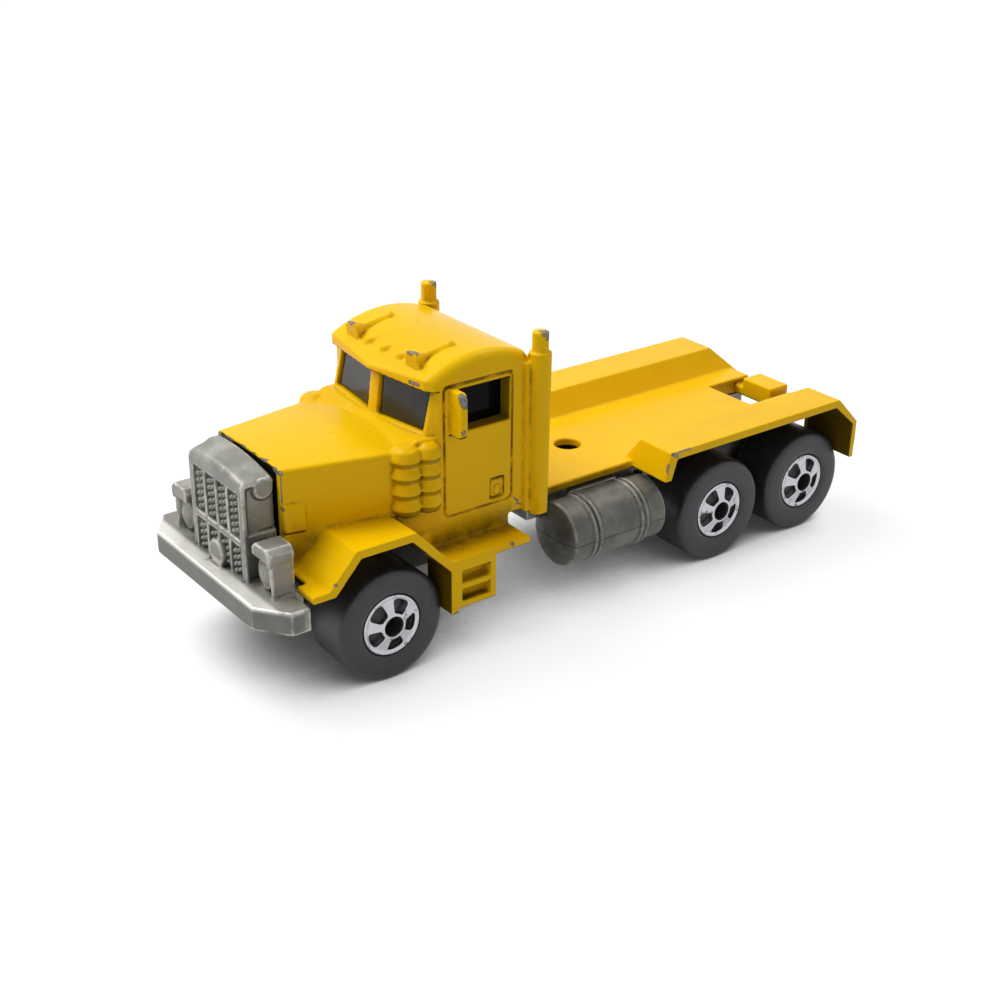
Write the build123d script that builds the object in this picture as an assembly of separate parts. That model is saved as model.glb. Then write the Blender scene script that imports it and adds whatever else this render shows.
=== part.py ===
"""Die-cast toy tanker truck whose tank is missing: painted body casting, bare base casting, smoked
window insert, three wire axles and six free-rolling wheels with bright hub faces."""
import math
import os

from build123d import *

# Frame in millimetres: +X towards the bumper, +Y to the driver's side, +Z up, ground at z = 0.

# Wheels and axles
wheel_r = 5.6
wheel_width = 5.5
wheel_face_y = 10.9
shoulder = 0.6
hub_r = 3.15
hub_depth = 0.35
hub_ring_r = 2.75
boss_r = 1.2
boss_rise = 0.1
hub_hole_r = 0.95
hub_hole_depth = 2.0
axle_r = 0.55
axle_fit = 0.06
axle_head_r = 0.8
axle_head_thick = 0.3
axle_head_gap = 0.1
front_axle_x = 23.35
mid_axle_x = -18.1
tyre_gap = 1.35
axles = {"front": front_axle_x, "mid": mid_axle_x, "rear": mid_axle_x - 2 * wheel_r - tyre_gap}
hub_turn = {"front": 45.7, "mid": 56.0, "rear": 49.0}
sides = {"left": 1, "right": -1}

# Bright hub face: a ring, five spokes and a raised boss ring
foil_thick = 0.12
foil_gap = 0.1
spokes = 5
window_r = (1.3, 2.6)
window_deg = 43
window_depth = 0.5

# Walls of the body casting, and how far a cutter runs past what it cuts
wall = 0.9
cab_wall = 1.7
front_wall = 1.2
hood_wall = 1.1
through = 3.0

# Rear fenders: side profile points, then the leaning inner wall
fender_top = 15.1
fender_outer_y = 12.55
fender_inner_y = 7.8
fender_foot_y = 6.1
fender_wall = 1.2
fender_front_x = -9.0
flap_foot = (fender_front_x + 0.7, 12.0)
fender_rear_x = axles["rear"] - 2.95
guard_foot = (axles["rear"] - wheel_r - 0.4, 7.7)
guard_knee = (guard_foot[0] - 0.1, 11.9)
guard_wall = 0.6

# Bed, behind the cab
bed_top = 12.65
bed_half = 7.3
bed_end_x = guard_knee[0] + 1.0
peg_hole_x = -5.85
peg_hole_r = 1.4
slot_x = (bed_end_x + 2.05, bed_end_x + 6.35)
slot_half = 3.3
slot_cheek = 0.9
tab_half = 2.2
tab_reach = 0.75
tab_rise = 0.35

# Cab
cab_half = 8.68
cab_rear_x = 6.35
cab_sill = 12.0
screen_low = 20.0
screen_high = 26.4
screen_mid_x = (18.45, 17.75)
screen_corner_x = (18.0, 16.4)
screen_corner_y = cab_half - 0.78
cab_corner_x = 16.3
roof_front_x = 18.45
roof_corner_x = 17.5
roof_side_x = 16.95
roof_low = 26.3
roof_front_z = 26.7
roof_crown = (12.5, 29.0)
roof_rear_z = 28.0
roof_edge_r = 1.1
pane_y = (0.75, cab_half - 1.23)
pane_z_low = (22.0, 22.2)
pane_z_high = (26.2, 25.95)
side_window_x = (8.35, 14.35)
side_window_z = (21.75, 26.0)
door_x = (8.0, 16.0)
door_z = (13.5, 26.65)
latch_x = (8.95, 10.75)
latch_z = (14.0, 16.2)
groove = 0.25
groove_deep = 0.2

# Hood, cowl and front fenders
hood_top = 21.65
hood_crown_r = 71.0
hood_edge_r = 0.4
hood_front_x = 31.35
hood_front_half = 5.76
hood_rear_x = 20.6
hood_rear_half = cab_half - 0.68
cowl_top = 21.95
hood_panel_length = 2.0
hood_panel_z = (15.3, 18.0)
hood_panel_proud = 0.25
arch_half = wheel_face_y - wheel_width - 0.2
hood_cavity_half = arch_half - 1.0
front_fender_y = 12.2
front_fender_top = 15.1
front_fender_x = (21.4, 27.7)
fender_knee = (17.6, 11.0)
knee_drop = 1.2
fender_leg_x = 16.75
fender_leg_foot = 5.4
fender_toe = (32.3, 11.95)
fender_toe_low = 11.2
fender_toe_rear_x = 30.6
arch_foot_x = 30.0

# Running boards and step ladders
board_rear_x = 8.45
board_top = 10.95
board_thick = 0.7
ladder_x = 12.5
ladder_low = 5.8
ladder_thick = 1.8
ladder_pocket = 1.1
ladder_bar = 0.65

# Upright fittings on the body
stack_x = 5.28
stack_y = cab_half + 0.46
stack_r = (0.95, 1.1)
stack_z = (11.5, 27.98)
pipe_r = 0.8
pipe_rise = 2.0
mirror_x = (14.7, 15.4)
mirror_y = (cab_half - 0.28, cab_half + 2.02)
mirror_z = (21.9, 26.4)
mirror_corner_r = 0.6
cleaner_z = (15.0, 21.35)
cleaner_dome = 0.35
cleaner_ribs = 4
rib_bulge = 0.28
canisters = [  # distance behind the hood's rear corner, distance outside it, radius
    (0.85, 0.0, 1.25),
    (3.0, 0.4, 1.1),
]

# Roof horns and marker lamps
horn_y = 5.05
horn_bell = (16.95, 28.2)
horn_back = (0.0, 1.55, 4.05, 4.65)
horn_r = (1.15, 0.38, 0.34, 0.6)
horn_tilt = 9.3
marker_y = (-2.6, 0.0, 2.6)
marker_x = 16.2
marker_z = 27.85
marker_r = 0.42
marker_length = 1.3

# Rivets that close the two castings
rivet_x = (27.6, -24.75)
rivet_r = 1.2
rivet_head_r = 1.7
rivet_head = 0.5
rivet_fit = 0.05

# Bumper, grille and lamps of the base casting
bumper_x = 36.75
bumper_z = (8.9, 11.15)
bumper_half = front_fender_y + 0.1
bumper_flat_half = bumper_half - 3.1
bumper_corner_x = bumper_x - 2.25
bumper_rear_x = 32.6
grille_x = (31.55, 34.85)
grille_half = 5.0
grille_top = 21.1
grille_crown_r = 28.0
grille_corner_r = 0.6
grille_frame = 0.75
grille_brow = 1.6
grille_recess = 0.6
grille_bars = 3
grille_bar = 0.35
cross_bar_z = 14.65
cheek_x = 34.4
cheek_z = (15.65, 20.2)
cheek_deep = 0.3
pad_x = 32.62
pad_z = 19.75
pad_r = 0.95
pod_x = (32.25, 34.85)
pod_y = (grille_half + 1.3, grille_half + 4.25)
pod_top = 15.9
pod_chamfer = 0.5
pod_cap_low = 14.35
pod_cap_slope = 0.4
pod_cap_over = (0.3, 0.15)
lens_y = grille_half + 2.85
lens_z = 13.5
lens_half = (1.1, 1.7)
lens_proud = 0.15
fog_x = 35.3
fog_z = 12.25
fog_r = 1.25

# Pan of the base casting: low plates at the axles, joined by a high spine and the tray under the bed
pan_low = 3.9
pan_thick = 1.0
pan_half = 4.6
nose_x = (hood_front_x - hood_wall - 1.0, 30.0, 33.2)
plate_x = [(front_axle_x - 11.0, nose_x[1]), (-35.0, mid_axle_x + 4.6)]
deck_low = 9.4
rail_y = (3.4, 4.1)
rail_top = 10.7
spine_rear_x = slot_x[1] + wall
tray_half = cab_half - cab_wall - 0.08
tray_x = (fender_front_x, 4.85)
bearing_half_x = 1.5
bearing_top = 7.2
bearing_y = (3.4, 4.6)
bearing_fit = 0.03
casting_gap = 0.1

# Fuel tanks of the base casting
tank_x = (-9.35, 3.3)
tank_y = cab_half + 0.32
tank_z = 8.2
tank_r = 3.3
tank_dome = 0.5
band_x = (-0.05, -6.1)
band_half = 0.32
band_ridge = 0.3
band_rise = 0.18
saddle_y = tank_y - 1.4

# Smoked window insert
pane_thick = 0.9
pane_gap = 0.08
pane_foot_z = 20.9


def block(x, y, z):
    low = [min(pair) for pair in (x, y, z)]
    size = [abs(pair[1] - pair[0]) for pair in (x, y, z)]
    return Pos(*low) * Box(*size, align=(Align.MIN, Align.MIN, Align.MIN))


def plan(points, z0, z1):
    """Outline in XY raised from z0 to z1."""
    face = make_face(Polyline(*[(x, y, z0) for x, y in points], close=True))
    return extrude(face, z1 - z0, dir=(0, 0, 1))


def side(points, y0, y1):
    """Outline in XZ carried from y0 to y1."""
    face = make_face(Polyline(*[(x, y0, z) for x, z in points], close=True))
    return extrude(face, y1 - y0, dir=(0, 1, 0))


def cross(points, x0, x1):
    """Outline in YZ carried from x0 to x1."""
    face = make_face(Polyline(*[(x0, y, z) for y, z in points], close=True))
    return extrude(face, x1 - x0, dir=(1, 0, 0))


def both_sides(shape):
    return shape + mirror(shape, about=Plane.XZ)


def joined(shapes):
    made = None
    for shape in shapes:
        made = shape if made is None else made + shape
    return made


def post(x, y, z0, z1, r):
    return Pos(x, y, z0) * Cylinder(r, z1 - z0, align=(Align.CENTER, Align.CENTER, Align.MIN))


def rod_x(x0, x1, y, z, r):
    """Round bar along X."""
    return Pos((x0 + x1) / 2, y, z) * Rot(0, 90, 0) * Cylinder(r, abs(x1 - x0))


def rod_y(x, z, y0, y1, r):
    """Round bar along Y."""
    return Pos(x, (y0 + y1) / 2, z) * Rot(90, 0, 0) * Cylinder(r, abs(y1 - y0))


def turned_y(points):
    """Half profile (radius, y) turned about the Y axis."""
    return revolve(make_face(Polyline(*[(r, y, 0) for r, y in points], close=True)), Axis.Y)


def turned_z(points, x, y):
    """Half profile (radius, z) turned about an upright axis."""
    return Pos(x, y, 0) * revolve(make_face(Polyline(*[(r, 0, z) for r, z in points], close=True)), Axis.Z)


def crowned(shape, top, r):
    """Trim a shape's top to a shallow arch across the truck."""
    box = shape.bounding_box()
    return shape & rod_x(box.min.X - through, box.max.X + through, 0, top - r, r)


def cab_plan(z, inset_front, inset_side, inset_rear):
    """Cab outline at height z: V windscreen, leaning more at its corners than in the middle."""
    lean = (z - screen_low) / (screen_high - screen_low)
    mid_x = screen_mid_x[0] + lean * (screen_mid_x[1] - screen_mid_x[0]) - inset_front
    corner_x = screen_corner_x[0] + lean * (screen_corner_x[1] - screen_corner_x[0]) - inset_front
    half = cab_half - inset_side
    corner_y = screen_corner_y - inset_side
    rear = cab_rear_x + inset_rear
    points = [
        (rear, -half), (cab_corner_x - inset_front, -half), (corner_x, -corner_y), (mid_x, 0),
        (corner_x, corner_y), (cab_corner_x - inset_front, half), (rear, half),
    ]
    return make_face(Polyline(*[(x, y, z) for x, y in points], close=True))


def cab_prism(z0, z1, inset_front, inset_side, inset_rear):
    insets = (inset_front, inset_side, inset_rear)
    return loft([cab_plan(z0, *insets), cab_plan(z1, *insets)], ruled=True)


def roof_cap():
    """Roof with a V front, crowned along the cab and rounded over its side edges."""
    outline = [
        (cab_rear_x, -cab_half), (roof_side_x, -cab_half), (roof_corner_x, -screen_corner_y),
        (roof_front_x, 0), (roof_corner_x, screen_corner_y), (roof_side_x, cab_half),
        (cab_rear_x, cab_half),
    ]
    cap = plan(outline, roof_low, roof_crown[1] + through)
    far_y = -cab_half - through
    low = roof_low - through
    start = (roof_front_x, far_y, roof_front_z)
    crown = (roof_crown[0], far_y, roof_crown[1])
    end = (cab_rear_x - 0.01, far_y, roof_rear_z)
    profile = make_face([
        ThreePointArc(start, crown, end),
        Line(end, (end[0], far_y, low)),
        Line((end[0], far_y, low), (start[0], far_y, low)),
        Line((start[0], far_y, low), start),
    ])
    cap = cap & extrude(profile, -2 * far_y, dir=(0, 1, 0))
    rims = [e for e in cap.edges() if abs(abs(e.center().Y) - cab_half) < groove
            and e.center().Z > (roof_low + roof_crown[1]) / 2]
    return fillet(rims, roof_edge_r)


def windscreen_cuts():
    pane = [
        (pane_y[0], pane_z_low[0]), (pane_y[1], pane_z_low[1]),
        (pane_y[1], pane_z_high[1]), (pane_y[0], pane_z_high[0]),
    ]
    return both_sides(cross(pane, cab_corner_x - through, roof_front_x + through))


def side_window_cuts():
    return both_sides(block(side_window_x, (cab_half - cab_wall - through, cab_half + through), side_window_z))


def ring_groove(x, z, corner):
    """Rounded rectangular groove in the door's face, as a cutter for the +Y side."""
    middle = ((x[0] + x[1]) / 2, cab_half, (z[0] + z[1]) / 2)
    width, height = x[1] - x[0], z[1] - z[0]
    face = Plane(middle, x_dir=(1, 0, 0), z_dir=(0, -1, 0))
    outer = RectangleRounded(width, height, corner)
    inner = RectangleRounded(width - 2 * groove, height - 2 * groove, corner / 2)
    return extrude(face * (outer - inner), groove_deep)


def cab():
    shell = cab_prism(cab_sill, screen_high, 0, 0, 0) + roof_cap()
    hollow = cab_prism(cab_sill - through, roof_low + 0.4, front_wall, cab_wall, cab_wall)
    return shell, hollow


def hood():
    """Crowned bonnet that widens towards the cab, the cowl behind it and the side panels."""
    outline = [(hood_front_x, hood_front_half), (hood_rear_x, hood_rear_half), (cab_corner_x, cab_half)]
    outline = outline + [(x, -y) for x, y in reversed(outline)]
    bonnet = crowned(plan(outline, fender_toe_low, hood_top), hood_top, hood_crown_r)
    rims = [e for e in bonnet.edges() if abs(e.center().Y) > hood_front_half
            and e.center().Z > hood_top - hood_wall and e.center().X > hood_rear_x]
    bonnet = fillet(rims, hood_edge_r)
    edge_z = hood_top - hood_rear_half ** 2 / (2 * hood_crown_r)
    ramp = side(
        [(hood_rear_x, edge_z), (screen_mid_x[0], cowl_top), (cab_corner_x, cowl_top),
         (cab_corner_x, edge_z - hood_wall), (hood_rear_x, edge_z - hood_wall)],
        -cab_half, cab_half)
    cowl = ramp & plan(outline, edge_z - through, cowl_top + through)
    taper = (hood_rear_half - hood_front_half) / (hood_front_x - hood_rear_x)
    rear_y = hood_front_half + taper * hood_panel_length
    rear_x = hood_front_x - hood_panel_length
    panel = plan(
        [(hood_front_x, hood_front_half - wall), (hood_front_x, hood_front_half + hood_panel_proud),
         (rear_x, rear_y + hood_panel_proud), (rear_x, rear_y - wall)],
        *hood_panel_z)
    return bonnet + cowl + both_sides(panel)


def arch_line():
    """Underside of the front fender, from the toe to the rear leg."""
    x0, x1 = front_fender_x
    under = front_fender_top - wall
    return [(arch_foot_x, fender_toe_low), (x1 - wall / 2, under), (x0 + wall / 2, under),
            (fender_knee[0], fender_knee[1] - knee_drop)]


def front_fender():
    """Left front fender: a folded sheet over the wheel, its rear leg, running board and ladder."""
    x0, x1 = front_fender_x
    over = [
        (fender_toe[0], fender_toe_low), fender_toe, (fender_toe_rear_x, fender_toe[1]),
        (x1, front_fender_top), (x0, front_fender_top), fender_knee, (fender_leg_x, fender_knee[1]),
        (fender_leg_x, fender_leg_foot), (fender_knee[0], fender_leg_foot),
    ]
    fender = side(over + arch_line()[::-1], hood_cavity_half, front_fender_y)
    board_low = board_top - board_thick
    inner_leg = block((fender_leg_x - 1, fender_knee[0] + 1), (0, cab_half - 0.6), (0, board_low))
    board = block((board_rear_x, fender_knee[0]), (cab_half - cab_wall, front_fender_y), (board_low, board_top))
    apron = block((board_rear_x, fender_knee[0] + 1), (cab_half - cab_wall, cab_half), (board_low, cab_sill + 0.5))
    ladder = block((ladder_x, fender_leg_x), (front_fender_y - ladder_thick, front_fender_y),
                   (ladder_low, board_low))
    step_height = (board_low - ladder_low - ladder_bar) / 2
    for row in range(2):
        low = ladder_low + ladder_bar + row * step_height
        gap = block((ladder_x + ladder_bar, fender_leg_x - ladder_bar / 2),
                    (front_fender_y - ladder_pocket, front_fender_y + through),
                    (low, low + step_height - ladder_bar))
        ladder = ladder - gap
    beside_pod = block((hood_front_x, fender_toe[0] + through), (0, pod_y[1] + casting_gap), (0, hood_top))
    return (fender - inner_leg - beside_pod) + board + apron + ladder


def wheel_room():
    """Space inside the front fenders that the wheels turn in."""
    arch = [(arch_foot_x, 0)] + arch_line() + [(fender_knee[0], 0)]
    return both_sides(side(arch, arch_half, front_fender_y + through))


def rear_fender():
    """Left rear fender: folded sheet with flap and mudguard, closed inside by a leaning wall."""
    under = fender_top - wall
    over = [flap_foot, (fender_front_x, fender_top), (fender_rear_x, fender_top), guard_knee]
    back = [
        guard_foot, (guard_foot[0] + guard_wall, guard_foot[1]),
        (guard_knee[0] + guard_wall, guard_knee[1] - guard_wall / 2), (fender_rear_x + wall / 2, under),
        (fender_front_x - wall, under), (flap_foot[0] - wall, flap_foot[1]),
    ]
    lean = (fender_inner_y - fender_foot_y) / (fender_top - bed_top)
    low = bed_top - wall
    foot_y = fender_foot_y - lean * wall
    ends = (guard_knee[0] - through, flap_foot[0] + through)
    inside = cross(
        [(0, fender_top + through), (fender_inner_y + lean * through, fender_top + through),
         (foot_y, low), (foot_y, 0), (0, 0)], *ends)
    sheet = side(over + back, 0, fender_outer_y) - inside
    inner_wall = cross(
        [(foot_y, low), (fender_inner_y, fender_top), (fender_inner_y + fender_wall, fender_top),
         (foot_y + fender_wall, low)], guard_knee[0], fender_front_x)
    within = side(over + [(guard_knee[0], low), (flap_foot[0], low)], 0, fender_outer_y)
    return sheet + (inner_wall & within)


def bed():
    """Flat bed with the peg hole, the clip slot and the tab behind the slot."""
    low = bed_top - wall
    plate = block((fender_front_x, cab_rear_x + cab_wall), (-bed_half, bed_half), (low, bed_top))
    rear_half = fender_foot_y + wall / 3
    plate = plate + block((bed_end_x, fender_front_x), (-rear_half, rear_half), (low, bed_top))
    plate = plate - block((bed_end_x - through, slot_x[1]), (-slot_half, slot_half), (0, bed_top + through))
    tab = block((bed_end_x - tab_reach, slot_x[0]), (-tab_half, tab_half), (low, bed_top + tab_rise))
    ledge = (low - wall, low + casting_gap)
    bridge = block((bed_end_x, slot_x[0]), (-slot_half - slot_cheek, slot_half + slot_cheek), ledge)
    cheeks = both_sides(block((bed_end_x, slot_x[1]), (slot_half, slot_half + slot_cheek), ledge))
    plate = plate + tab + bridge + cheeks
    return plate - post(peg_hole_x, 0, 0, bed_top + through, peg_hole_r)


def stack():
    """Left exhaust stack on the cab's rear corner, with a narrower pipe above its collar."""
    low, collar = stack_z
    top = collar + pipe_rise
    pipe = turned_z(
        [(0, low), (stack_r[0], low), (stack_r[1], collar), (pipe_r, collar), (pipe_r, top), (0, top)],
        stack_x, stack_y)
    web = block((stack_x - 0.3, cab_rear_x + 0.5), (cab_half - cab_wall, stack_y), (bed_top - wall, collar - wall))
    return pipe + web


def air_cleaner():
    """Left air cleaner: two ribbed canisters side by side where the hood meets the cab."""
    low, top = cleaner_z
    rib = (top - low) / cleaner_ribs
    made = []
    for back, out, r in canisters:
        profile = [(0, low)]
        for i in range(cleaner_ribs):
            profile += [(r, low + i * rib), (r + rib_bulge, low + (i + 0.5) * rib)]
        profile += [(r, top), (r / 2, top + cleaner_dome), (0, top + cleaner_dome)]
        made.append(turned_z(profile, hood_rear_x - back, hood_rear_half + out))
    return joined(made)


def horn():
    """Left roof horn: bell, thin neck and flared tail, following the roof's slope."""
    points = [(-x, r) for x, r in zip(horn_back, horn_r)]
    outline = [(points[0][0], 0)] + points + [(points[-1][0], 0)]
    face = make_face(Polyline(*[(x, 0, r) for x, r in outline], close=True))
    return Pos(horn_bell[0], horn_y, horn_bell[1]) * Rot(0, horn_tilt, 0) * revolve(face, Axis.X)


def markers():
    half = marker_length / 2
    return joined([rod_x(marker_x - half, marker_x + half, y, marker_z, marker_r) for y in marker_y])


def side_mirror():
    plate = block(mirror_x, mirror_y, mirror_z)
    corners = [e for e in plate.edges() if abs(e.center().Y - mirror_y[1]) < groove
               and abs(e.center().X - sum(mirror_x) / 2) < groove]
    return fillet(corners, mirror_corner_r)


def rivets(low, r):
    tops = (hood_top - hood_wall + casting_gap, bed_top - wall + casting_gap)
    return joined([post(x, 0, low, top, r) for x, top in zip(rivet_x, tops)])


def rivet_heads():
    low = pan_low - rivet_head
    dome = [(0, pan_low), (rivet_head_r, pan_low), (rivet_head_r * 0.75, low), (0, low)]
    return joined([turned_z(dome, x, 0) for x in rivet_x])


def body_casting():
    shell, hollow = cab()
    body = shell + hood() + bed()
    body = body + both_sides(front_fender() + rear_fender() + stack() + air_cleaner() + horn() + side_mirror())
    body = body + markers()
    engine_bay = block((cab_corner_x - through, hood_front_x - hood_wall), (-hood_cavity_half, hood_cavity_half),
                       (0, hood_top - hood_wall))
    body = body - hollow - engine_bay - wheel_room() - windscreen_cuts() - side_window_cuts()
    body = body - both_sides(ring_groove(door_x, door_z, 2 * groove) + ring_groove(latch_x, latch_z, groove))
    return body + rivets(pan_low, rivet_r) + rivet_heads()


def grille():
    """Radiator shell with a crowned top, a recessed front with bars, and sunk cheeks with a round pad."""
    shell = block(grille_x, (-grille_half, grille_half), (bumper_z[0], grille_top))
    shell = crowned(shell, grille_top, grille_crown_r)
    rims = [e for e in shell.edges() if e.center().Z > grille_top - 1]
    shell = fillet(rims, grille_corner_r)
    inner = grille_half - grille_frame
    floor_x = grille_x[1] - grille_recess
    brow = grille_top - grille_brow
    shell = shell - block((floor_x, grille_x[1] + through), (-inner, inner), (bumper_z[1], brow))
    pitch = 2 * inner / (grille_bars + 1)
    depth = (floor_x - grille_bar, grille_x[1])
    for i in range(1, grille_bars + 1):
        y = -inner + i * pitch
        bar_y = (y - grille_bar / 2, y + grille_bar / 2)
        shell = shell + block(depth, bar_y, (bumper_z[1] - grille_bar, brow + grille_bar))
    bar_z = (cross_bar_z - grille_bar, cross_bar_z + grille_bar)
    shell = shell + block(depth, (-inner - grille_bar, inner + grille_bar), bar_z)
    cheek_y = (grille_half - cheek_deep, grille_half + through)
    shell = shell - both_sides(block((grille_x[0] - through, cheek_x), cheek_y, cheek_z))
    pad_y = (cheek_y[0] - cheek_deep / 2, grille_half)
    pad = rod_y(pad_x, pad_z, *pad_y, pad_r)
    pad = pad + block((pad_x - pad_r, pad_x + pad_r), pad_y, (pad_z, cheek_z[1] + cheek_deep / 2))
    return shell + both_sides(pad)


def lamp_pod():
    """Left headlamp pod: an overhanging cap on a narrower body with an oval lens."""
    inner, outer = pod_y
    over_x, over_y = pod_cap_over
    cap = cross(
        [(inner, pod_cap_low), (outer - over_y, pod_cap_low), (outer, pod_cap_low + pod_cap_slope),
         (outer, pod_top - pod_chamfer), (outer - pod_chamfer, pod_top), (inner + pod_chamfer, pod_top),
         (inner, pod_top - pod_chamfer)], *pod_x)
    front = pod_x[1] - over_x
    body = block((pod_x[0], front), (inner, outer - over_y), (bumper_z[0], pod_cap_low + pod_cap_slope))
    face = Plane((front - lens_proud, lens_y, lens_z), x_dir=(0, 1, 0), z_dir=(1, 0, 0))
    return cap + body + extrude(face * Ellipse(*lens_half), 2 * lens_proud)


def bumper():
    outline = [
        (bumper_x, bumper_flat_half), (bumper_corner_x, bumper_half), (bumper_rear_x, bumper_half),
        (bumper_rear_x, pod_y[1]), (grille_x[0], pod_y[1]),
    ]
    outline = outline + [(x, -y) for x, y in reversed(outline)]
    return plan(outline, *bumper_z) + rod_x(grille_x[0], fog_x, 0, fog_z, fog_r)


def fuel_tank():
    """Left fuel tank: domed cylinder along X with two pairs of strap ridges."""
    x0, x1 = tank_x
    bulge = tank_r * math.sqrt(0.5)
    dome = tank_dome * (1 - math.sqrt(0.5))
    profile = make_face([
        ThreePointArc((x0, 0, 0), (x0 + dome, 0, bulge), (x0 + tank_dome, 0, tank_r)),
        Line((x0 + tank_dome, 0, tank_r), (x1 - tank_dome, 0, tank_r)),
        ThreePointArc((x1 - tank_dome, 0, tank_r), (x1 - dome, 0, bulge), (x1, 0, 0)),
        Line((x1, 0, 0), (x0, 0, 0)),
    ])
    tank = Pos(0, tank_y, tank_z) * revolve(profile, Axis.X)
    for x in band_x:
        for centre in (x - band_half, x + band_half):
            start, end = centre - band_ridge / 2, centre + band_ridge / 2
            tank = tank + rod_x(start, end, tank_y, tank_z, tank_r + band_rise)
    return tank


def pan():
    """Underside of the base: spine, tray with tank saddles, nose, and the plates that hold the axles."""
    low, top = pan_low, pan_low + pan_thick
    ceiling = bed_top - wall - casting_gap
    spine = block((spine_rear_x, nose_x[0]), (-rail_y[1], rail_y[1]), (deck_low, rail_top))
    tray = block(tray_x, (-tray_half, tray_half), (deck_low, ceiling))
    tray = tray - block((tray_x[0] + wall, tray_x[1] - wall), (-tray_half + wall, tray_half - wall),
                        (rail_top, ceiling + through))
    saddles = both_sides(block((band_x[1], band_x[0]), (tray_half - wall, saddle_y), (tank_z, tank_z + tank_r)))
    seat = fender_toe_low - casting_gap
    nose = side(
        [(nose_x[0], low), (nose_x[1], low), (nose_x[2], bumper_z[0]), (nose_x[2], seat), (nose_x[0], seat)],
        -pan_half, pan_half)
    base = spine + tray + saddles + nose
    for ends in plate_x:
        base = base + block(ends, (-pan_half, pan_half), (low, top)) + both_sides(block(ends, rail_y, (low, rail_top)))
    for x in axles.values():
        base = base + both_sides(block((x - bearing_half_x, x + bearing_half_x), bearing_y, (low, bearing_top)))
        base = base - rod_y(x, wheel_r, -pan_half - through, pan_half + through, axle_r + bearing_fit)
    return base


def base_casting():
    base = pan() + grille() + bumper() + both_sides(lamp_pod() + fuel_tank())
    return base - rivets(0, rivet_r + rivet_fit)


def window_insert():
    front, flank = front_wall + pane_gap, cab_wall + pane_gap
    outer = cab_prism(pane_foot_z, roof_low, front, flank, flank)
    inner = cab_prism(pane_foot_z - through, roof_low - pane_thick, front + pane_thick, flank + pane_thick, -through)
    return outer - inner


def hub_windows(turn):
    """Cutters for the tapered windows between the spokes, deep enough for the wheel's recesses."""
    inner, outer = window_r
    floor_y = -hub_depth - window_depth
    made = []
    for i in range(spokes):
        left, right = [math.radians(turn + i * 360 / spokes + s * window_deg / 2) for s in (-1, 1)]
        corners = [(inner, left), (outer, left), (outer, right), (inner, right)]
        face = make_face(Polyline(*[(r * math.cos(a), floor_y, r * math.sin(a)) for r, a in corners], close=True))
        made.append(extrude(face, through, dir=(0, 1, 0)))
    return joined(made)


def hub_face(lift):
    """Line of the hub's face from its centre hole to its rim, raised by lift."""
    return [(hub_hole_r, boss_rise + lift), (boss_r, boss_rise + lift), (hub_ring_r, lift - hub_depth)]


def wheel(turn):
    """Left wheel about the origin, outer face at y = 0: tyre and rim in one moulding."""
    bore = axle_r + axle_fit
    seat_y = boss_rise - hub_hole_depth
    profile = [(bore, seat_y), (hub_hole_r, seat_y)] + hub_face(0) + [
        (hub_r, -hub_depth), (hub_r, 0), (wheel_r - shoulder, 0), (wheel_r, -shoulder),
        (wheel_r, -wheel_width), (bore, -wheel_width),
    ]
    return turned_y(profile) - hub_windows(turn)


def hub_foil(turn):
    rim = hub_r - foil_gap
    profile = hub_face(0) + [(rim, -hub_depth), (rim, foil_thick - hub_depth)] + hub_face(foil_thick)[::-1]
    return turned_y(profile) - hub_windows(turn)


def axle(x):
    start = wheel_face_y + boss_rise - hub_hole_depth + axle_head_gap
    end = start + axle_head_thick
    return rod_y(x, wheel_r, -end, end, axle_r) + both_sides(rod_y(x, wheel_r, start, end, axle_head_r))


def placed(shape, x, sign):
    """Set a left-hand wheel piece on its axle, mirrored for the right-hand side."""
    left = Pos(x, wheel_face_y, wheel_r) * shape
    return left if sign > 0 else mirror(left, about=Plane.XZ)


nodes = {
    "body_casting": body_casting(),
    "base_casting": base_casting(),
    "window_insert": window_insert(),
}
for place, x in axles.items():
    nodes[f"axle_{place}"] = axle(x)
    tyre, foil = wheel(hub_turn[place]), hub_foil(hub_turn[place])
    for name, sign in sides.items():
        nodes[f"wheel_{place}_{name}"] = placed(tyre, x, sign)
        nodes[f"hub_foil_{place}_{name}"] = placed(foil, x, sign)
os.makedirs("parts", exist_ok=True)
for name, shape in nodes.items():
    export_step(shape, f"parts/{name}.step")
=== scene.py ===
import math

import bpy
import numpy as np
from mathutils import Matrix, Vector


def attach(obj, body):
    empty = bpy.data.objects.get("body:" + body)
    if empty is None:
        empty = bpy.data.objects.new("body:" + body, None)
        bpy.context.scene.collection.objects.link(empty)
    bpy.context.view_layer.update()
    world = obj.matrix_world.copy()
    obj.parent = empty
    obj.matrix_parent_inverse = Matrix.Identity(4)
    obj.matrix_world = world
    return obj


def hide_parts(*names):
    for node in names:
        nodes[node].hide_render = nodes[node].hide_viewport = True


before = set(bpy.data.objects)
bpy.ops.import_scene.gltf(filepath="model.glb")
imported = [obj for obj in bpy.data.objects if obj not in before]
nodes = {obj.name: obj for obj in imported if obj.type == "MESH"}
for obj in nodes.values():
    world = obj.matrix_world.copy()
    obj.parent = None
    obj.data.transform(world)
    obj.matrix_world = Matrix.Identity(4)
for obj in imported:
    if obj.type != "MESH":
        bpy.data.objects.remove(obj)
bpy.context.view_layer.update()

mm = 0.001
scene = bpy.context.scene
scene.view_settings.view_transform = "Standard"


# mesh helpers; all lengths are in millimetres until a mesh is made

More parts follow.
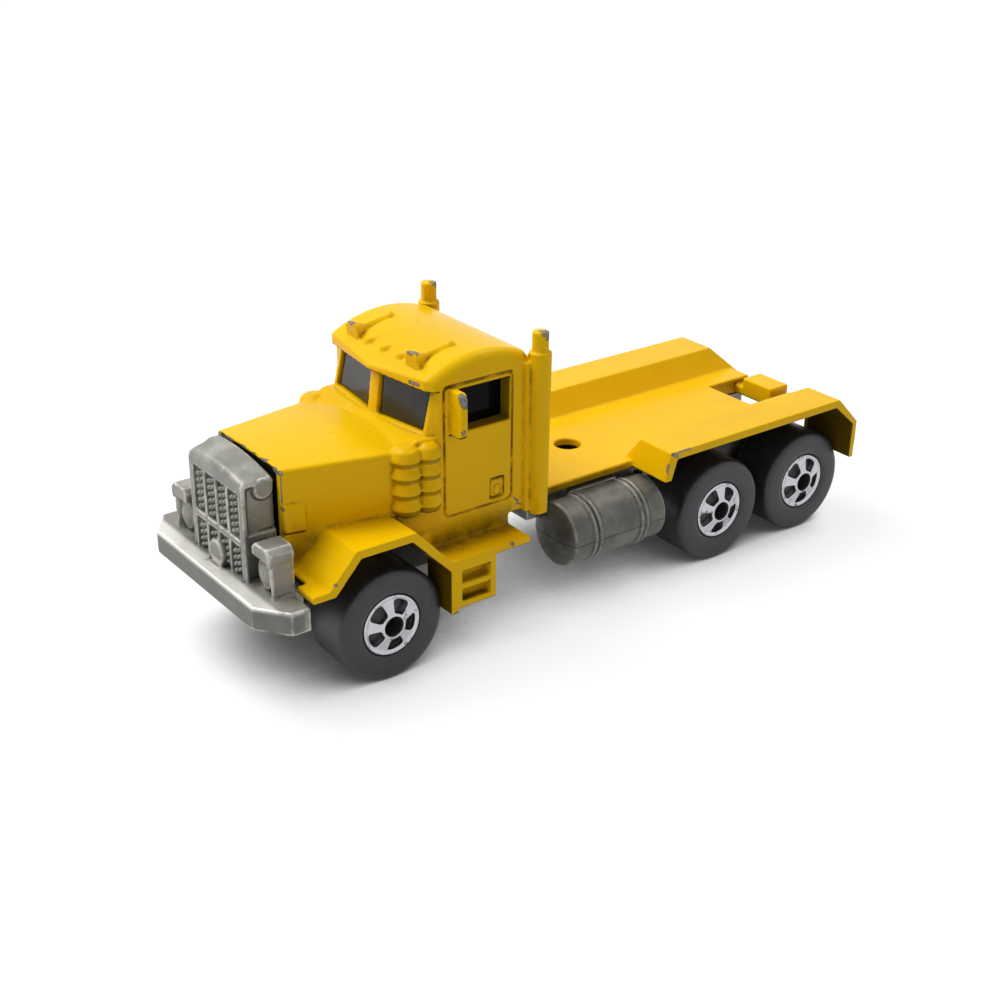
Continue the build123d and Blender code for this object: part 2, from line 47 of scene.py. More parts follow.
def outward(verts, faces):
    # signed volume of a closed quad mesh, sum of a . (b x c) / 6; a negative one is turned inside out
    a, b, c, d = (verts[faces[:, i]] for i in range(4))
    volume = (a * np.cross(b, c)).sum() + (a * np.cross(c, d)).sum()
    return faces if volume > 0 else faces[:, ::-1]


def meshObject(name, verts, faces, body, material):
    mesh = bpy.data.meshes.new(name)
    rows = faces if isinstance(faces, list) else faces.tolist()
    mesh.from_pydata((np.asarray(verts) * mm).tolist(), [], rows)
    mesh.update()
    mesh.polygons.foreach_set("use_smooth", np.ones(len(mesh.polygons), bool))
    mesh.materials.append(material)
    piece = bpy.data.objects.new(name, mesh)
    scene.collection.objects.link(piece)
    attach(piece, body)
    return piece


def gridFaces(rows, cols, wrapRows=False, wrapCols=False):
    # quads of a rows x cols point grid, closed on itself either way
    r = np.arange(rows if wrapRows else rows - 1)[:, None]
    c = np.arange(cols if wrapCols else cols - 1)[None, :]
    r2, c2 = (r + 1) % rows, (c + 1) % cols
    return np.stack([r * cols + c, r * cols + c2, r2 * cols + c2, r2 * cols + c], -1).reshape(-1, 4)


def joinGrids(parts):
    # list of (verts, faces) as one pair
    starts = np.cumsum([0] + [len(v) for v, f in parts])
    faces = [f + start for (v, f), start in zip(parts, starts)]
    return np.concatenate([v for v, f in parts]), np.concatenate(faces)


def weld(verts, faces):
    # points that share a place become one
    keep, index = np.unique(np.round(verts, 4), axis=0, return_inverse=True)
    return keep, index.reshape(-1)[faces]


def slab(front, back):
    # closed mesh of two point grids of the same shape, joined round their borders
    rows, cols = front.shape[:2]
    index = np.arange(rows * cols).reshape(rows, cols)
    loop = np.concatenate([index[0, :-1], index[:-1, -1], index[-1, :0:-1], index[:0:-1, 0]])
    ahead = np.roll(loop, -1)
    size = rows * cols
    sheet = gridFaces(rows, cols)
    border = np.stack([ahead, loop, loop + size, ahead + size], 1)
    verts = np.concatenate([front.reshape(-1, 3), back.reshape(-1, 3)])
    return verts, outward(verts, np.concatenate([sheet, sheet[:, ::-1] + size, border]))


def smoothStep(low, high, x):
    t = np.clip((x - low) / (high - low), 0, 1)
    return t * t * (3 - 2 * t)


def roundedPath(corners, per=5):
    # polyline whose corner P turns into B(t) = (1-t)^2 A + 2t(1-t) P + t^2 C,
    # with A and C at its radius along both edges
    points = np.array([c[:2] for c in corners], float)
    t = np.linspace(0, 1, per)[:, None]
    path = []
    for i, corner in enumerate(corners):
        p, before, after = points[i], points[i - 1], points[(i + 1) % len(points)]
        a = p + (before - p) / np.linalg.norm(before - p) * corner[2]
        c = p + (after - p) / np.linalg.norm(after - p) * corner[2]
        path.append((1 - t) ** 2 * a + 2 * t * (1 - t) * p + t ** 2 * c)
    return np.concatenate(path)


# camera: the view that was fitted to the photograph

view = {
    "target": (2.459, 1.289, 8.4),     # mm
    "azimuth": 52.535,                 # degrees from +X towards +Y
    "elevation": 25.562,
    "distance": 163.27,                # mm
    "roll": 0.638,
    "lens": 57.28,
    "shift": (-0.0114, 0.0042),
}


def makeCamera():
    az, el, roll = (math.radians(view[k]) for k in ("azimuth", "elevation", "roll"))
    back = Vector((math.cos(el) * math.cos(az), math.cos(el) * math.sin(az), math.sin(el)))
    right = Vector((0, 0, 1)).cross(back).normalized()
    up = back.cross(right)
    right, up = right * math.cos(roll) + up * math.sin(roll), up * math.cos(roll) - right * math.sin(roll)
    data = bpy.data.cameras.new("photoCamera")
    data.lens = view["lens"]
    data.sensor_width = 36.0
    data.shift_x, data.shift_y = view["shift"]
    data.clip_start, data.clip_end = 0.005, 20.0
    cam = bpy.data.objects.new("photoCamera", data)
    scene.collection.objects.link(cam)
    eye = Vector(view["target"]) * mm + back * view["distance"] * mm
    cam.matrix_world = Matrix.Translation(eye) @ Matrix((right, up, back)).transposed().to_4x4()
    scene.camera = cam


makeCamera()
print("camera placed")


# node helpers

class Shades:
    # makes and wires the nodes of one material
    def __init__(self, name):
        self.material = bpy.data.materials.new(name)
        self.material.use_nodes = True
        self.tree = self.material.node_tree
        self.shader = self.tree.nodes["Principled BSDF"]
        self.coords = self.tree.nodes.new("ShaderNodeTexCoord").outputs["Object"]

    def link(self, value, socket):
        if isinstance(value, bpy.types.NodeSocket):
            self.tree.links.new(value, socket)
        else:
            socket.default_value = value

    def node(self, kind, inputs=None, **settings):
        made = self.tree.nodes.new(kind)
        for key, value in settings.items():
            setattr(made, key, value)
        for key, value in (inputs or {}).items():
            self.link(value, made.inputs[key])
        return made

    def math(self, operation, a, b=0.0, c=0.0):
        return self.node("ShaderNodeMath", {0: a, 1: b, 2: c}, operation=operation).outputs[0]

    def times(self, *values):
        total = values[0]
        for value in values[1:]:
            total = self.math("MULTIPLY", total, value)
        return total

    def most(self, *values):
        total = values[0]
        for value in values[1:]:
            total = self.math("MAXIMUM", total, value)
        return total

    def noise(self, scale, detail=3.0, rough=0.55, offset=0.0):
        # scale is in features per millimetre
        moved = self.node("ShaderNodeVectorMath", {0: self.coords, 1: (offset,) * 3}, operation="ADD")
        inputs = {"Vector": moved.outputs[0], "Scale": scale * 1000.0, "Detail": detail, "Roughness": rough}
        return self.node("ShaderNodeTexNoise", inputs).outputs["Fac"]

    def ramp(self, value, low, high):
        got = self.node("ShaderNodeMapRange", {"Value": value, "From Min": low, "From Max": high},
                        interpolation_type="SMOOTHSTEP")
        return got.outputs["Result"]

    def fall(self, value, low, high):
        return self.math("SUBTRACT", 1.0, self.ramp(value, low, high))

    def mixColor(self, factor, a, b):
        got = self.node("ShaderNodeMix", data_type="RGBA")
        self.link(factor, got.inputs[0])
        self.link(a, got.inputs[6])
        self.link(b, got.inputs[7])
        return got.outputs[2]

    def mixValue(self, factor, a, b):
        got = self.node("ShaderNodeMix", data_type="FLOAT")
        self.link(factor, got.inputs[0])
        self.link(a, got.inputs[2])
        self.link(b, got.inputs[3])
        return got.outputs[0]

    def attribute(self, name):
        return self.node("ShaderNodeAttribute", attribute_name=name).outputs["Fac"]

    def axes(self):
        split = self.node("ShaderNodeSeparateXYZ", {0: self.coords})
        return [self.math("MULTIPLY", out, 1000.0) for out in split.outputs]

    def facing(self):
        normal = self.node("ShaderNodeNewGeometry").outputs["Normal"]
        return self.node("ShaderNodeSeparateXYZ", {0: normal}).outputs

    def bump(self, height, distance, strength=1.0, normal=None):
        inputs = {"Height": height, "Distance": distance * mm, "Strength": strength}
        if normal is not None:
            inputs["Normal"] = normal
        return self.node("ShaderNodeBump", inputs).outputs["Normal"]

    def set(self, **values):
        for key, value in values.items():
            self.link(value, self.shader.inputs[key.replace("_", " ")])
        return self.material


def rgb(r, g, b):
    # sRGB 0..255 to linear
    c = np.array([r, g, b]) / 255.0
    lin = np.where(c <= 0.04045, c / 12.92, ((c + 0.055) / 1.055) ** 2.4)
    return (*[float(v) for v in lin], 1.0)


# softened castings: a copy of the CAD mesh is voxel remeshed, smoothed and thinned, so that its edges round
# over as thick enamel and worn tooling leave them

soften = {
    "body_casting": {"voxel": 0.115, "passes": 4, "triangles": 190000},
    "base_casting": {"voxel": 0.115, "passes": 3, "triangles": 160000},
}
weldGap = 0.0005        # mm
smoothFactor = 0.5


grilleTop = {
    "rear": 31.55,
    "front": 34.85,
    "half": 5.2,
    "foot": 19.4,
    "top": 20.6,
    "rise": 0.5,
    "skew": 0.07,
    "behind": 0.4,      # how far past the rear edge the lift still holds
}
lampPocket = {
    "y": (6.1, 8.72),
    "z": (11.2, 14.55),
    "x": (34.1, 35.1),
    "ahead": 0.6,       # added to x before it is compared
    "deep": 0.8,
    "wall": 0.14,
}


def frontForms(co):
    # dz = (rise - skew y) (front - x) / (front - rear) lifts the grille shell's rear edge to the hood, and
    # dx = -deep in a rounded window of |y| and z sinks the lamps under their caps
    g, p = grilleTop, lampPocket
    x, y, z = co.T.copy()
    share = np.clip((g["front"] - x) / (g["front"] - g["rear"]), 0, 1) * smoothStep(g["foot"], g["top"], z)
    onShell = (np.abs(y) < g["half"]) & (x > g["rear"] - g["behind"])
    co[:, 2] += (g["rise"] - g["skew"] * y) * share * onShell
    insideY = np.minimum(np.abs(y) - p["y"][0], p["y"][1] - np.abs(y))
    insideZ = np.minimum(z - p["z"][0], p["z"][1] - z)
    window = smoothStep(-p["wall"], p["wall"], np.minimum(insideY, insideZ))
    co[:, 0] -= p["deep"] * window * smoothStep(*p["x"], x + p["ahead"])
    return co


def softCopy(name, newName, forms=None, kept=None):
    facts = soften[name]
    mesh = nodes[name].data.copy()
    mesh.transform(Matrix.Scale(1000.0, 4))
    work = bpy.data.objects.new(newName + "Work", mesh)
    scene.collection.objects.link(work)
    close = work.modifiers.new("weld", "WELD")
    close.merge_threshold = weldGap
    remesh = work.modifiers.new("remesh", "REMESH")
    remesh.mode = "VOXEL"
    remesh.voxel_size = facts["voxel"]
    smooth = work.modifiers.new("smooth", "SMOOTH")
    smooth.factor = smoothFactor
    smooth.iterations = facts["passes"]
    graph = bpy.context.evaluated_depsgraph_get()
    dense = bpy.data.meshes.new_from_object(work.evaluated_get(graph))
    work.modifiers.clear()
    work.data = dense
    co = np.empty(len(dense.vertices) * 3, np.float32)
    dense.vertices.foreach_get("co", co)
    co = co.reshape(-1, 3)
    if forms:
        dense.vertices.foreach_set("co", forms(co).reshape(-1))
        dense.update()
    count = len(dense.polygons) * 2
    thin = work.modifiers.new("thin", "DECIMATE")
    thin.ratio = min(1.0, facts["triangles"] / count)
    if kept:      # points outside this group are not thinned
        work.vertex_groups.new(name="thinned").add(np.flatnonzero(~kept(co)).tolist(), 1.0, "REPLACE")
        thin.vertex_group = "thinned"
    graph = bpy.context.evaluated_depsgraph_get()
    final = bpy.data.meshes.new_from_object(work.evaluated_get(graph))
    bpy.data.objects.remove(work)
    final.transform(Matrix.Scale(mm, 4))
    final.name = newName
    final.materials.clear()
    final.polygons.foreach_set("use_smooth", np.ones(len(final.polygons), bool))
    piece = bpy.data.objects.new(newName, final)
    scene.collection.objects.link(piece)
    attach(piece, "truck")
    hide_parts(name)
    print(newName, "dense", count, "kept", len(final.polygons))
    return piece


def meshArrays(mesh):
    # vertex places in mm, vertex normals, edge ends
    co = np.empty(len(mesh.vertices) * 3, np.float32)
    mesh.vertices.foreach_get("co", co)
    normal = np.empty(len(mesh.vertices) * 3, np.float32)
    mesh.vertices.foreach_get("normal", normal)
    edges = np.empty(len(mesh.edges) * 2, np.int32)
    mesh.edges.foreach_get("vertices", edges)
    a, b = edges.reshape(-1, 2).T
    return co.reshape(-1, 3).astype(float) / mm, normal.reshape(-1, 3).astype(float), a, b


def blur(value, a, b, passes):
    # each point takes the mean of itself and its neighbours
    for _ in range(passes):
        total = value + np.bincount(a, value[b], len(value)) + np.bincount(b, value[a], len(value))
        value = total / (1 + np.bincount(a, minlength=len(value)) + np.bincount(b, minlength=len(value)))
    return value


def curvature(co, normal, a, b):
    # mean of -2 (neighbour - point) . normal / length^2 over a point's edges:
    # positive on edges, negative in recesses
    span = co[b] - co[a]
    square = np.maximum((span ** 2).sum(1), 1e-9)
    total = (np.bincount(a, -2 * (span * normal[a]).sum(1) / square, len(co))
             + np.bincount(b, 2 * (span * normal[b]).sum(1) / square, len(co)))
    count = np.bincount(a, minlength=len(co)) + np.bincount(b, minlength=len(co))
    return blur(total / np.maximum(count, 1), a, b, 3)


shelterFacts = {
    "cell": 0.5,          # mm, size of an occupancy cell
    "rays": 32,
    "steps": 12,
    "reach": 9.0,         # mm
}


def occupancy(clouds):
    # boolean grid of the cells that hold a vertex
    cell = shelterFacts["cell"]
    points = np.concatenate(clouds)
    low = points.min(0) - 2 * cell
    grid = np.zeros(np.ceil((points.max(0) - low) / cell).astype(int) + 3, bool)
    grid[tuple(((points - low) / cell).astype(int).T)] = True
    return low, grid


def shelter(co, normal, low, grid):
    # share of the cosine-weighted rays from a point that meet a filled cell
    facts = shelterFacts
    i = np.arange(facts["rays"]) + 0.5
    z = 1 - 2 * i / facts["rays"]
    turn = i * math.pi * (3 - math.sqrt(5))
    rays = np.stack([np.sqrt(1 - z * z) * np.cos(turn), np.sqrt(1 - z * z) * np.sin(turn), z], 1)
    top = np.array(grid.shape) - 1
    shut, total = np.zeros(len(co)), np.zeros(len(co))
    start = co + normal * 1.2 * facts["cell"]
    for ray in rays:
        weight = np.maximum(normal @ ray, 0)
        hit = np.zeros(len(co), bool)
        for reach in np.linspace(1.2 * facts["cell"], facts["reach"], facts["steps"]):
            at = ((start + ray * reach - low) / facts["cell"]).astype(int)
            inside = ((at >= 0) & (at <= top)).all(1)
            at = np.clip(at, 0, top)
            hit |= inside & grid[at[:, 0], at[:, 1], at[:, 2]]
        shut += weight * hit
        total += weight
    return shut / total


def storeAttribute(mesh, name, values):
    layer = mesh.attributes.new(name, "FLOAT", "POINT")
    layer.data.foreach_set("value", np.asarray(values, np.float32))


# paint chips that the photograph shows, as capsules: two ends and a radius

chips = [
    ((5.2, 9.55, 30.0), (4.9, 9.8, 29.6), 0.42),         # near stack
    ((5.0, -8.7, 30.0), (4.8, -8.6, 29.8), 0.38),        # far stack
    ((15.25, 10.6, 26.1), (14.9, 10.7, 25.45), 0.42),    # mirror
    ((15.15, 10.7, 22.8), (15.15, 10.7, 22.7), 0.2),
    ((17.75, 5.9, 26.7), (17.6, 7.1, 26.8), 0.17),       # visor
    ((17.1, -5.1, 29.3), (17.0, -4.8, 29.2), 0.26),      # far horn
    ((17.1, 4.75, 29.2), (16.7, 5.4, 29.1), 0.3),        # near horn
    ((31.4, -5.4, 21.0), (31.3, -5.1, 20.8), 0.35),      # hood front edge
    ((31.4, -4.2, 21.3), (31.4, -2.9, 21.35), 0.16),
    ((31.4, -1.2, 21.5), (31.4, -0.4, 21.5), 0.13),
    ((31.4, 0.9, 21.5), (31.4, 1.4, 21.5), 0.12),
    ((31.4, 2.5, 21.45), (31.2, 3.3, 21.5), 0.15),
    ((31.3, 4.7, 21.25), (31.2, 5.65, 21.1), 0.2),
    ((31.3, 5.75, 20.8), (31.3, 5.75, 18.2), 0.07),
    ((31.3, 5.7, 17.85), (31.2, 5.8, 17.75), 0.2),
    ((30.1, 12.15, 12.6), (29.95, 12.2, 12.5), 0.15),    # front fender
    ((7.85, 8.68, 13.5), (7.35, 8.68, 13.0), 0.09),      # cracks at the door's corner
    ((7.55, 8.68, 12.8), (7.0, 8.68, 12.6), 0.08),
    ((10.75, 12.2, 10.8), (10.6, 12.2, 10.75), 0.2),     # running board
    ((-8.6, 12.5, 14.0), (-8.5, 12.5, 13.2), 0.2),       # flap and rear fender
    ((-9.2, 12.55, 15.0), (-9.75, 12.55, 14.7), 0.22),
    ((-10.0, 12.55, 15.05), (-11.6, 12.55, 15.05), 0.1),
    ((-8.4, 10.2, 12.1), (-8.35, 11.6, 12.0), 0.1),
    ((-36.7, 11.0, 11.9), (-36.7, 12.5, 11.8), 0.12),
    ((17.0, 12.2, 5.5), (17.3, 12.2, 5.4), 0.16),
]


def capsuleField(co, table):
    # least over the capsules of distance / radius, distance = |p - a - t (b - a)|
    # with t = clamp((p - a).(b - a) / |b - a|^2)
    best = np.full(len(co), 9.0)
    for a, b, r in table:
        a, b = np.array(a), np.array(b)
        t = np.clip((co - a) @ (b - a) / ((b - a) @ (b - a)), 0, 1)
        best = np.minimum(best, np.linalg.norm(co - a - t[:, None] * (b - a), axis=1) / r)
    return best


chipMargin = 2.4        # radii round a chip that keep their fine mesh
curveScale = 3.0        # curvature, per mm, that counts as a full edge or recess


def nearChips(co):
    return capsuleField(co, chips) < chipMargin


bodyPiece = softCopy("body_casting", "painted_body", kept=nearChips)
basePiece = softCopy("base_casting", "bare_base", frontForms)


def dressCastings():
    wheelClouds = [meshArrays(node.data)[0] for name, node in nodes.items() if name.startswith("wheel")]
    arrays = {piece: meshArrays(piece.data) for piece in (bodyPiece, basePiece)}
    low, grid = occupancy([arrays[p][0] for p in arrays] + wheelClouds)
    for piece, (co, normal, a, b) in arrays.items():
        bend = curvature(co, normal, a, b)
        storeAttribute(piece.data, "edge", np.clip(bend / curveScale, 0, 1))
        storeAttribute(piece.data, "recess", np.clip(-bend / curveScale, 0, 1))
        storeAttribute(piece.data, "shelter", blur(shelter(co, normal, low, grid), a, b, 4))
    storeAttribute(bodyPiece.data, "chip", capsuleField(arrays[bodyPiece][0], chips))


dressCastings()
print("castings softened")


# yellow enamel

enamel = {
    "paint": rgb(252, 201, 6),
    "deep": rgb(240, 176, 8),
    # dirt and painted shade, for recesses, sheltered places and the feet of the cab side and hood
    "grimeAndShade": rgb(70, 50, 16),
    "line": rgb(120, 78, 20),
    # near black painted shade
    "paintedShade": rgb(20, 16, 10),
    "revealShade": rgb(78, 68, 30),
    "metal": rgb(150, 150, 154),
    "rim": rgb(66, 56, 40),
    "gloss": 0.08,
}
doorLines = [  # middle x and z, half sizes, corner radius, line half width
    (12.0, 20.075, 3.88, 6.45, 0.6, 0.18),
    (9.85, 15.1, 0.78, 0.98, 0.25, 0.15),
    (9.85, 14.95, 0.4, 0.55, 0.38, 0.11),
]
doorFace = 8.68
doorSkin = (0.35, 0.5)      # distance from the door face at which its lines end
# window's thickness in the cab side, painted olive as shade
sideReveal = {"x": (8.2, 14.5), "y": (6.6, 8.5), "z": (21.6, 26.15), "edge": 0.12}
# inner faces behind the wheels, painted near black as shade
archBacks = [  # inner faces behind the wheels
    {"x": (13.5, 20.5), "y": (6.0, 12.12), "z": (0.0, 13.0), "edge": 0.1},
    {"x": (-38.0, -33.0), "y": (6.0, 12.5), "z": (0.0, 14.4), "edge": 0.1},
]
# dirt and painted shade where the cab side meets the running board and where the hood meets the fenders
sill = {"y": 8.68, "z": 10.95, "x": (8.3, 17.0), "rearEdge": 0.4, "frontEdge": 1.0,
        "start": 0.2, "reach": 2.9}
hoodFoot = {"x": (17.0, 31.0), "y": (5.0, 6.7), "z": (12.0, 17.2), "edge": 0.5, "full": 1.0}
ladderPocket = {"x": (9.0, 11.95), "y": (10.8, 12.05), "z": (6.3, 10.1), "edge": 0.15}
# hood's front face behind the grille, painted near black as shade
hoodGap = {"x": (31.2, 32.0), "y": (-1.0, 5.17), "z": (12.0, 21.5), "edge": 0.12}


def roundBoxLine(s, x, z, facts):
    # |signed distance to a rounded rectangle| below the half width,
    # |max(q, 0)| + min(max(qx, qz), 0) - r with q = |p - c| - h + r
    cx, cz, hx, hz, r, half = facts
    qx = s.math("ADD", s.math("ABSOLUTE", s.math("SUBTRACT", x, cx)), r - hx)
    qz = s.math("ADD", s.math("ABSOLUTE", s.math("SUBTRACT", z, cz)), r - hz)
    px, pz = s.math("MAXIMUM", qx, 0.0), s.math("MAXIMUM", qz, 0.0)
    out = s.math("SQRT", s.math("ADD", s.math("MULTIPLY", px, px), s.math("MULTIPLY", pz, pz)))
    inside = s.math("MINIMUM", s.math("MAXIMUM", qx, qz), 0.0)
    far = s.math("ABSOLUTE", s.math("SUBTRACT", s.math("ADD", out, inside), r))
    return s.fall(far, 0.35 * half, half)


def inBox(s, x, y, z, box):
    # 1 inside a box in x, |y| and z, with soft edges
    parts = []
    for value, key in ((x, "x"), (s.math("ABSOLUTE", y), "y"), (z, "z")):
        low, high = box[key]
        parts += [s.ramp(value, low, low + box["edge"]), s.fall(value, high - box["edge"], high)]
    return s.times(*parts)


def makeEnamel():
    s = Shades("yellowEnamel")
    x, y, z = s.axes()
    cloud = s.noise(0.09, 4)
    color = s.mixColor(s.times(s.ramp(cloud, 0.4, 0.75), 0.35), enamel["paint"], enamel["deep"])
    onDoor = s.fall(s.math("ABSOLUTE", s.math("SUBTRACT", s.math("ABSOLUTE", y), doorFace)), *doorSkin)
    lines = s.times(s.most(*[roundBoxLine(s, x, z, facts) for facts in doorLines]), onDoor)
    recess, cover = s.attribute("recess"), s.attribute("shelter")
    patchy = s.noise(0.6, 6, 0.68)
    # recesses darker: dirt and painted shade
    grimeAndShade = s.times(s.ramp(recess, 0.1, 0.6), s.ramp(patchy, 0.32, 0.7))
    # sheltered places darker, from the occlusion attribute: dust and painted shade
    dustAndShade = s.times(s.ramp(cover, 0.32, 0.74), s.mixValue(s.ramp(patchy, 0.25, 0.7), 0.45, 1.0), 0.72)
    streak = s.times(lines, s.mixValue(s.ramp(patchy, 0.36, 0.58), 0.25, 0.9))
    # the cab side's foot and the hood side darker towards the bottom: dirt and painted shade
    outOfSill = s.math("POWER", s.math("SUBTRACT", s.math("ABSOLUTE", y), sill["y"]), 2.0)
    overSill = s.math("POWER", s.math("SUBTRACT", z, sill["z"]), 2.0)
    away = s.math("SQRT", s.math("ADD", outOfSill, overSill))
    rear, front = sill["x"]
    foot = s.times(s.fall(away, sill["start"], sill["reach"]),
                   s.ramp(x, rear - sill["rearEdge"], rear), s.fall(x, front, front + sill["frontEdge"]))
    bottom, top = hoodFoot["z"]
    low = s.times(inBox(s, x, y, z, hoodFoot), s.fall(z, bottom + hoodFoot["full"], top))
    cornerDirtAndShade = s.times(s.most(s.times(foot, 0.8), s.times(low, 0.75)),
                      s.mixValue(s.ramp(patchy, 0.3, 0.65), 0.6, 1.0))
    specks = s.times(s.ramp(s.noise(2.4, 2, 0.5, 0.3), 0.72, 0.76),
                     s.ramp(s.noise(0.22, 2, 0.5, 0.7), 0.5, 0.65), 0.8)
    color = s.mixColor(streak, color, enamel["line"])
    color = s.mixColor(s.most(s.times(grimeAndShade, 0.7), dustAndShade, specks, cornerDirtAndShade), color, enamel["grimeAndShade"])
    # the side window's reveal painted darker as shade
    color = s.mixColor(s.times(inBox(s, x, y, z, sideReveal), 0.7), color, enamel["revealShade"])
    # painted shade: sheltered places, inner faces behind the wheels, faces that look down, the hood's face
    # behind the grille and the ladder's pocket go near black
    lowered = s.math("ADD", z, s.times(s.math("SUBTRACT", patchy, 0.5), 0.7))
    toFront, _, toTop = s.facing()
    inArch = s.times(s.ramp(toFront, 0.4, 0.7), s.most(*[inBox(s, x, y, z, box) for box in archBacks]))
    under = s.times(s.fall(toTop, -0.5, -0.1), 0.9)
    gap = s.most(inBox(s, x, y, lowered, hoodGap), s.times(inBox(s, x, y, z, ladderPocket), 0.8),
                 s.times(inArch, 0.85), under)
    color = s.mixColor(s.most(s.ramp(cover, 0.55, 0.85), gap), color, enamel["paintedShade"])
    ragged = s.math("MULTIPLY_ADD", s.math("SUBTRACT", s.noise(3.6, 5, 0.7), 0.5), 2.3, s.attribute("chip"))
    chip = s.fall(ragged, 0.92, 1.0)
    rim = s.fall(ragged, 1.1, 1.25)
    color = s.mixColor(s.times(rim, 0.6), color, enamel["rim"])
    metal = s.mixColor(s.ramp(s.noise(3.0, 3), 0.35, 0.65), enamel["metal"], enamel["rim"])
    color = s.mixColor(s.times(chip, 0.92), color, s.mixColor(0.35, metal, enamel["metal"]))
    lumps = s.bump(s.noise(0.45, 3), 0.05, 0.55)
    grain = s.noise(1.7, 3)
    normal = s.bump(grain, 0.008, 0.15, lumps)
    normal = s.bump(s.math("MULTIPLY", s.most(lines, chip), -1.0), 0.07, 0.7, normal)
    rough = s.mixValue(s.ramp(grain, 0.3, 0.8), 0.22, 0.3)
    rough = s.mixValue(s.most(chip, grimeAndShade, dustAndShade), rough, 0.6)
    return s.set(Base_Color=color, Roughness=rough, Normal=normal, Metallic=s.times(chip, 0.5),
                 Specular_IOR_Level=enamel["gloss"])


bodyPiece.data.materials.append(makeEnamel())


# bare zinc casting and the dotted mesh between the grille bars

zinc = {
    "bright": rgb(164, 163, 155),
    "mid": rgb(134, 133, 126),
    "dull": rgb(87, 86, 80),
    # stains, and painted shade in recesses and sheltered places
    "stainAndShade": rgb(48, 45, 40),
    # rubbed metal on edges, and painted highlight
    "polishAndHighlight": rgb(228, 227, 219),
    "metallic": 0.4,
    "gloss": 0.3,
}
# bumper's top, painted lighter as a highlight, and its front, darker towards the bottom
bumperTop = {"rear": 34.9, "z": (10.75, 11.6), "rearEdge": 0.6, "lowEdge": 0.4, "highEdge": 0.3}
bumperLow = {"x": (33.0, 33.5), "z": (10.6, 11.0)}
# inner wall by the front wheels, painted dark as shade
archSide = {"x": (12.0, 31.2), "y": (3.5, 8.6), "z": (6.5, 14.6), "edge": 0.2}
grilleFace = {"x": (33.9, 36.0), "y": (-1.0, 4.5), "z": (11.2, 19.6), "edge": 0.1}
fuelTank = {"inner": 5.4, "rear": -9.6, "front": 3.6, "seam": 7.95, "seamHalf": (0.03, 0.09)}


def makeZinc():
    s = Shades("bareZinc")
    x, y, z = s.axes()
    cloud = s.noise(0.3, 6, 0.65)
    color = s.mixColor(s.ramp(cloud, 0.35, 0.68), zinc["mid"], zinc["bright"])
    onTank = s.times(s.ramp(s.math("ABSOLUTE", y), fuelTank["inner"], fuelTank["inner"] + 0.3),
                     s.ramp(x, fuelTank["rear"], fuelTank["rear"] + 0.2),
                     s.fall(x, fuelTank["front"], fuelTank["front"] + 0.2))
    color = s.mixColor(s.times(onTank, s.mixValue(s.ramp(cloud, 0.3, 0.7), 0.95, 0.6)), color, zinc["dull"])
    rear, (bottom, top) = bumperTop["rear"], bumperTop["z"]
    onBumper = s.times(s.ramp(x, rear, rear + bumperTop["rearEdge"]),
                       s.ramp(z, bottom, bottom + bumperTop["lowEdge"]),
                       s.fall(z, top, top + bumperTop["highEdge"]))
    # painted highlight on the bumper's top
    color = s.mixColor(s.times(onBumper, 0.95), color, zinc["polishAndHighlight"])
    patchy = s.noise(0.8, 5, 0.65, 0.4)
    cover = s.attribute("shelter")
    fromSeam = s.math("ABSOLUTE", s.math("SUBTRACT", z, fuelTank["seam"]))
    # stains, specks and the tank's seam, with painted shade in recesses, sheltered places and on the wall
    # by the front wheels
    stainAndShade = s.most(s.times(s.ramp(s.attribute("recess"), 0.06, 0.5), s.ramp(patchy, 0.25, 0.6), 0.85),
                   s.times(s.ramp(cover, 0.4, 0.85), s.ramp(patchy, 0.2, 0.65), 0.8),
                   s.times(s.ramp(s.noise(1.9, 3, 0.6, 0.1), 0.66, 0.72),
                           s.ramp(s.noise(0.2, 2, 0.5, 0.9), 0.48, 0.6), 0.7),
                   s.ramp(cover, 0.58, 0.88), s.times(inBox(s, x, y, z, archSide), 0.85),
                   s.times(onTank, s.fall(fromSeam, *fuelTank["seamHalf"]), 0.7))
    stainAndShade = s.times(stainAndShade, s.mixValue(inBox(s, x, y, z, grilleFace), 1.0, 0.2))
    color = s.mixColor(stainAndShade, color, zinc["stainAndShade"])
    # bumper's front darker towards the bottom
    low = s.times(s.ramp(x, *bumperLow["x"]), s.fall(z, *bumperLow["z"]))
    color = s.mixColor(s.times(low, 0.6), color, zinc["dull"])
    # edges lighter: rubbed metal and painted highlight
    polishAndHighlight = s.times(s.ramp(s.attribute("edge"), 0.15, 0.5), s.ramp(patchy, 0.35, 0.6),
                     s.mixValue(onTank, 1.0, 0.35))
    color = s.mixColor(s.times(polishAndHighlight, 0.6), color, zinc["polishAndHighlight"])
    lumps = s.bump(s.noise(0.7, 4, 0.6), 0.06, 0.6)
    normal = s.bump(s.noise(3.2, 3), 0.02, 0.5, lumps)
    rough = s.mixValue(s.ramp(cloud, 0.3, 0.7), 0.4, 0.55)
    rough = s.mixValue(stainAndShade, rough, 0.7)
    return s.set(Base_Color=color, Metallic=zinc["metallic"], Roughness=rough, Normal=normal,
                 Specular_IOR_Level=zinc["gloss"])


zincMaterial = makeZinc()
basePiece.data.materials.append(zincMaterial)

